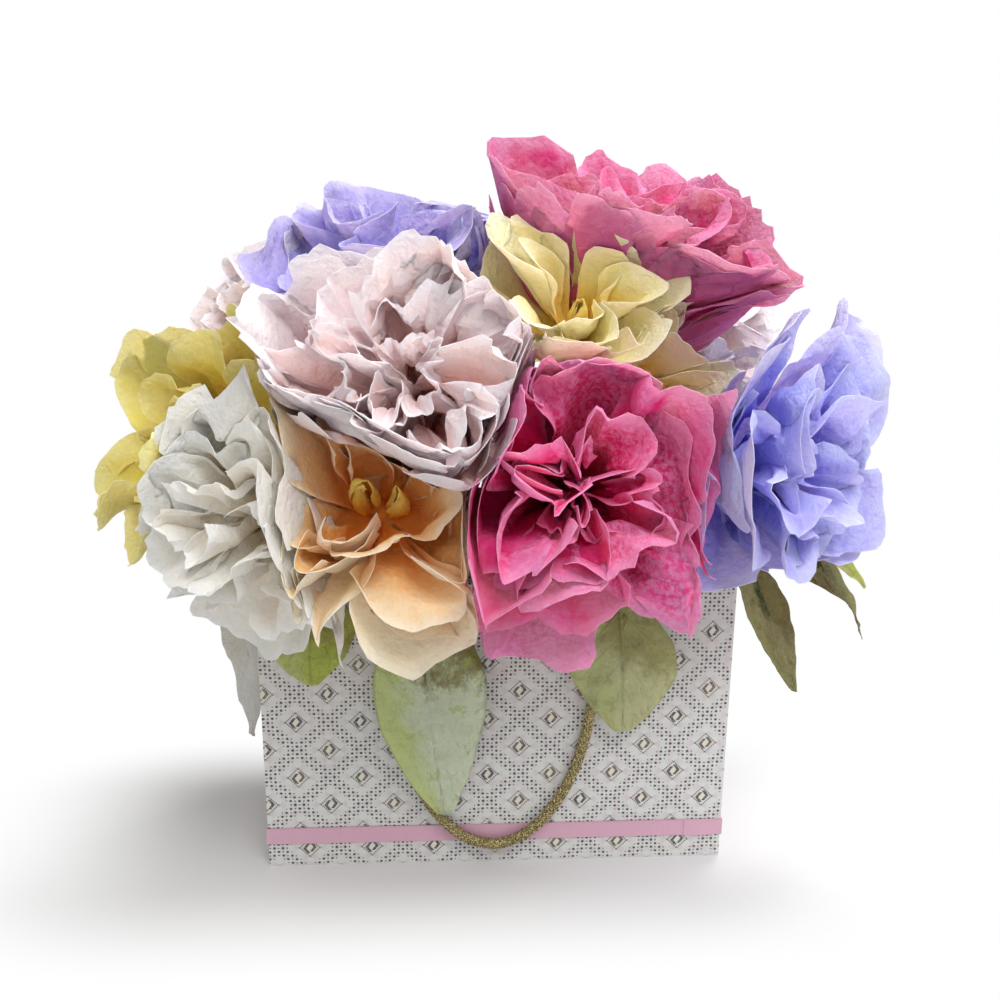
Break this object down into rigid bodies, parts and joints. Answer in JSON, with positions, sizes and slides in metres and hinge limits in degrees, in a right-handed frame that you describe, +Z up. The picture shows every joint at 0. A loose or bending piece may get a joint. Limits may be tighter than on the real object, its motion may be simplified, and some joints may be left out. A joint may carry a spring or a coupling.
{
  "type": "paper flower arrangement",
  "caption": "Peony-like blooms and leaves of cut and folded paper on wired stems, set in foam inside a paper gift bag with a ribbon band and a cord handle.",
  "frame": {"origin": "middle of the bag's underside", "axes": "+X to the right of the front, -Y out of the bag's front, +Z up"},
  "size_m": [0.3876, 0.2622, 0.3529],
  "materials": {
    "bag_paper": "satin",
    "grey_board": "matte",
    "foam_green": "matte",
    "ribbon_pink": "satin",
    "gold_cord": "satin",
    "stem_tape": "matte",
    "magenta_paper": "matte",
    "pink_paper": "matte",
    "peach_paper": "matte",
    "blush_paper": "matte",
    "white_paper": "matte",
    "cream_paper": "matte",
    "yellow_paper": "matte",
    "lilac_paper": "matte",
    "leaf_paper": "matte"
  },
  "bodies": {
    "root": {"gift_bag": "bag_paper", "base_card": "grey_board", "foam_block": "foam_green", "ribbon_band": "ribbon_pink", "handle_cord": "gold_cord", "handle_knot_left": "gold_cord", "handle_knot_right": "gold_cord", "magenta_peony_petals": "magenta_paper", "magenta_peony_bud": "magenta_paper", "magenta_peony_stem": "stem_tape", "peach_rose_petals": "peach_paper", "peach_rose_bud": "peach_paper", "peach_rose_stem": "stem_tape", "white_ruffle_petals": "white_paper", "white_ruffle_bud": "white_paper", "white_ruffle_stem": "stem_tape", "yellow_lily_petals": "yellow_paper", "yellow_lily_bud": "yellow_paper", "yellow_lily_stem": "stem_tape", "blush_peony_petals": "blush_paper", "blush_peony_bud": "blush_paper", "blush_peony_stem": "stem_tape", "lilac_peony_petals": "lilac_paper", "lilac_peony_bud": "lilac_paper", "lilac_peony_stem": "stem_tape", "pink_peony_petals": "pink_paper", "pink_peony_bud": "pink_paper", "pink_peony_stem": "stem_tape", "cream_lily_petals": "cream_paper", "cream_lily_bud": "cream_paper", "cream_lily_stem": "stem_tape", "cream_rose_petals": "cream_paper", "cream_rose_bud": "cream_paper", "cream_rose_stem": "stem_tape", "lilac_rose_petals": "lilac_paper", "lilac_rose_bud": "lilac_paper", "lilac_rose_stem": "stem_tape", "blush_rose_left_petals": "blush_paper", "blush_rose_left_bud": "blush_paper", "blush_rose_left_stem": "stem_tape", "blush_rose_right_petals": "blush_paper", "blush_rose_right_bud": "blush_paper", "blush_rose_right_stem": "stem_tape", "white_rose_back_petals": "white_paper", "white_rose_back_bud": "white_paper", "white_rose_back_stem": "stem_tape", "yellow_rose_back_petals": "yellow_paper", "yellow_rose_back_bud": "yellow_paper", "yellow_rose_back_stem": "stem_tape", "pink_rose_back_petals": "pink_paper", "pink_rose_back_bud": "pink_paper", "pink_rose_back_stem": "stem_tape", "leaf_front_large": "leaf_paper", "leaf_front_right": "leaf_paper", "leaf_front_left": "leaf_paper", "leaf_right_down": "leaf_paper", "leaf_right_out": "leaf_paper", "leaf_right_small": "leaf_paper", "leaf_top_right": "leaf_paper", "white_side_petal": "white_paper"}
  },
  "joints": []
}
